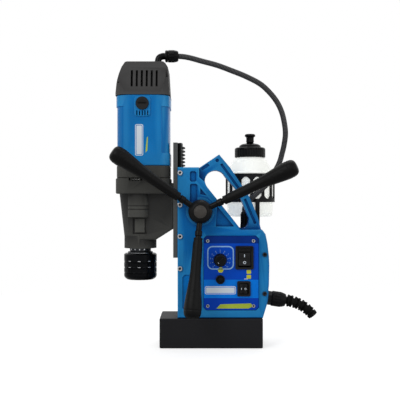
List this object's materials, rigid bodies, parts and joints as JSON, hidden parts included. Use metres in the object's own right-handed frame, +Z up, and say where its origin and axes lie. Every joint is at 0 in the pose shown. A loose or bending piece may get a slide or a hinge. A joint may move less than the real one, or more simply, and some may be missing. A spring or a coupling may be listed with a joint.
{
  "type": "magnetic drill press",
  "caption": "Magnetic drill press: electromagnet foot, cast stand with open handle and control panel, rack-fed drill unit, coolant bottle and flexible conduit.",
  "frame": {"origin": "centre of the magnet's bottom face", "axes": "+Z up along the spindle and slide, -X towards the drill unit, -Y towards the operator and the control panel"},
  "size_m": [0.3617, 0.2343, 0.527],
  "materials": {
    "magnet_black": "satin black coat",
    "coil_resin": "potting resin",
    "stand_blue": "blue paint, satin",
    "slide_steel": "blackened, ground",
    "panel_blue": "satin print",
    "board": "solder mask",
    "gearbox_grey": "dark grey satin paint",
    "rubber": "matte",
    "screw_steel": "zinc plated",
    "dark_screw": "blackened",
    "gear_steel": "ground",
    "hub_grey": "dark satin",
    "rod_black": "satin black",
    "motor_blue": "satin gloss",
    "tail_grey": "fine grain",
    "laminations": "varnished",
    "spindle_steel": "polished",
    "chuck_black": "blackened, polished",
    "gloss_black": "satin gloss",
    "black_plastic": "matte",
    "bottle_white": "milky, translucent"
  },
  "bodies": {
    "stand": {"magnet_body": "magnet_black", "magnet_coil": "coil_resin", "stand_housing": "stand_blue", "back_cover": "stand_blue", "gib_strip": "slide_steel", "gib_screw_1": "screw_steel", "gib_screw_2": "screw_steel", "gib_screw_3": "screw_steel", "gib_screw_4": "screw_steel", "panel_screw_1": "screw_steel", "panel_screw_2": "screw_steel", "panel_screw_3": "screw_steel", "panel_screw_4": "screw_steel", "housing_screw_1": "dark_screw", "housing_screw_2": "dark_screw", "housing_screw_3": "dark_screw", "control_panel": "panel_blue", "power_switch_body": "black_plastic", "magnet_switch_body": "black_plastic", "speed_potentiometer": "screw_steel", "breaker_body": "black_plastic", "circuit_board": "board", "cable_gland": "black_plastic", "gland_nut": "black_plastic", "strain_relief": "rubber", "feed_bearing_plug": "gearbox_grey", "conduit_gland": "black_plastic", "conduit": "rubber", "bottle_bracket": "black_plastic"},
    "carriage": {"slide_bar": "slide_steel", "gearbox_housing": "gearbox_grey", "gearbox_cover": "gearbox_grey", "motor_housing": "motor_blue", "motor_tail_cover": "tail_grey", "brush_cap_front": "black_plastic", "brush_cap_back": "black_plastic", "motor_stator": "laminations", "conduit_elbow": "black_plastic", "conduit_nut": "black_plastic"},
    "feed": {"feed_pinion": "gear_steel", "feed_hub": "hub_grey", "hub_cap": "hub_grey", "feed_arm_1": "rod_black", "feed_arm_2": "rod_black", "feed_arm_3": "rod_black", "feed_grip_1": "rubber", "feed_grip_2": "rubber", "feed_grip_3": "rubber"},
    "spindle": {"spindle": "spindle_steel", "chuck_body": "chuck_black"},
    "chuck_sleeve": {"chuck_sleeve": "chuck_black"},
    "layshaft": {"layshaft": "gear_steel"},
    "armature": {"armature": "laminations"},
    "power_key": {"power_rocker": "gloss_black"},
    "magnet_key": {"magnet_rocker": "gloss_black"},
    "speed_dial": {"speed_knob": "gloss_black"},
    "breaker_push": {"breaker_button": "gloss_black"},
    "bottle": {"bottle": "bottle_white", "bottle_cap": "gloss_black"},
    "nozzle": {"bottle_nozzle": "gloss_black"}
  },
  "joints": [
    {"name": "carriage_slide", "type": "slide", "parent": "stand", "child": "carriage", "axis": [0, 0, 1], "range_m": [-0.1, 0.06], "deforming": ["conduit"]},
    {"name": "feed_hub_turn", "type": "hinge", "parent": "stand", "child": "feed", "pos_m": [-0.019, 0, 0.238], "axis": [0, 1, 0], "range_deg": [-198, 119]},
    {"name": "spindle_spin", "type": "hinge", "parent": "carriage", "child": "spindle", "pos_m": [-0.1264, 0, 0.14], "axis": [0, 0, 1], "continuous": true},
    {"name": "layshaft_spin", "type": "hinge", "parent": "carriage", "child": "layshaft", "pos_m": [-0.1229, 0.02374, 0.27], "axis": [0, 0, 1], "continuous": true},
    {"name": "armature_spin", "type": "hinge", "parent": "carriage", "child": "armature", "pos_m": [-0.1194, 0, 0.37], "axis": [0, 0, 1], "continuous": true},
    {"name": "sleeve_twist", "type": "hinge", "parent": "spindle", "child": "chuck_sleeve", "pos_m": [-0.1264, 0, 0.14], "axis": [0, 0, 1], "range_deg": [0, 25], "stiffness_Nm_per_rad": 0.4},
    {"name": "power_switch", "type": "hinge", "parent": "stand", "child": "power_key", "pos_m": [0.0578, -0.0393, 0.1545], "axis": [1, 0, 0], "range_deg": [0, 14]},
    {"name": "magnet_switch", "type": "hinge", "parent": "stand", "child": "magnet_key", "pos_m": [0.0568, -0.0393, 0.10385], "axis": [0, 0, 1], "range_deg": [0, 14]},
    {"name": "speed_dial_turn", "type": "hinge", "parent": "stand", "child": "speed_dial", "pos_m": [0.0156, -0.05, 0.1536], "axis": [0, 1, 0], "range_deg": [0, 270]},
    {"name": "breaker_press", "type": "slide", "parent": "stand", "child": "breaker_push", "axis": [0, 1, 0], "range_m": [0, 0.002], "stiffness_N_per_m": 1500},
    {"name": "bottle_lift", "type": "slide", "parent": "stand", "child": "bottle", "axis": [0, 0, 1], "range_m": [0, 0.09]},
    {"name": "nozzle_pull", "type": "slide", "parent": "bottle", "child": "nozzle", "axis": [0, 0, 1], "range_m": [0, 0.005]}
  ],
  "couplings": [
    {"joint": "feed_hub_turn", "follows": "carriage_slide", "rad_per_m": 34.483},
    {"joint": "layshaft_spin", "follows": "spindle_spin", "ratio": -1.9091},
    {"joint": "armature_spin", "follows": "spindle_spin", "ratio": 4.8788}
  ]
}
